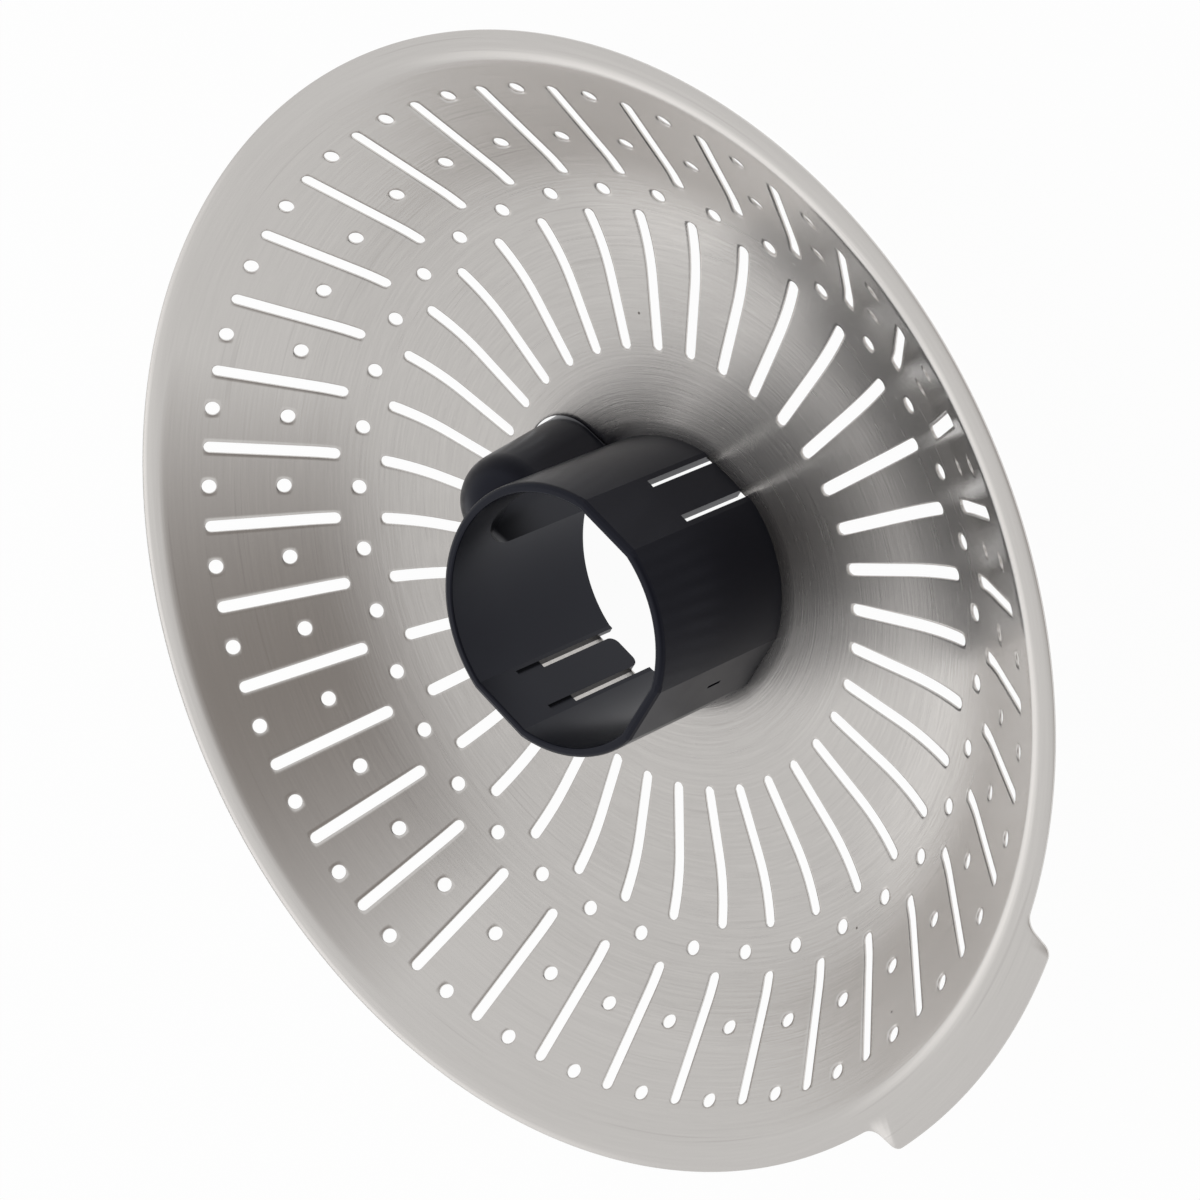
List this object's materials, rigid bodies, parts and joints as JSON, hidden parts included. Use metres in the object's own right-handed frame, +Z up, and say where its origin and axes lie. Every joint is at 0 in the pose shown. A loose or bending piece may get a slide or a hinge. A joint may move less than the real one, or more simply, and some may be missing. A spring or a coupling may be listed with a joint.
{
  "type": "juicer mesh screen",
  "caption": "Pressed steel strainer dish with radial rows of punched slots and holes, a lift tab, and a moulded plastic collar at its centre that fits over a juicer's spindle.",
  "frame": {"origin": "on the collar's axis, in the plane of its foot, which the screen stands on", "axes": "+Z up along the collar's axis, out of the dish's open side; +X towards the lift tab; +Y completes a right-handed frame"},
  "size_m": [0.1331, 0.1296, 0.023],
  "materials": {
    "steel": "satin, finely brushed in circles",
    "plastic": "satin, near black"
  },
  "bodies": {
    "root": {"strainer_dish": "steel", "collar": "plastic"}
  },
  "joints": []
}
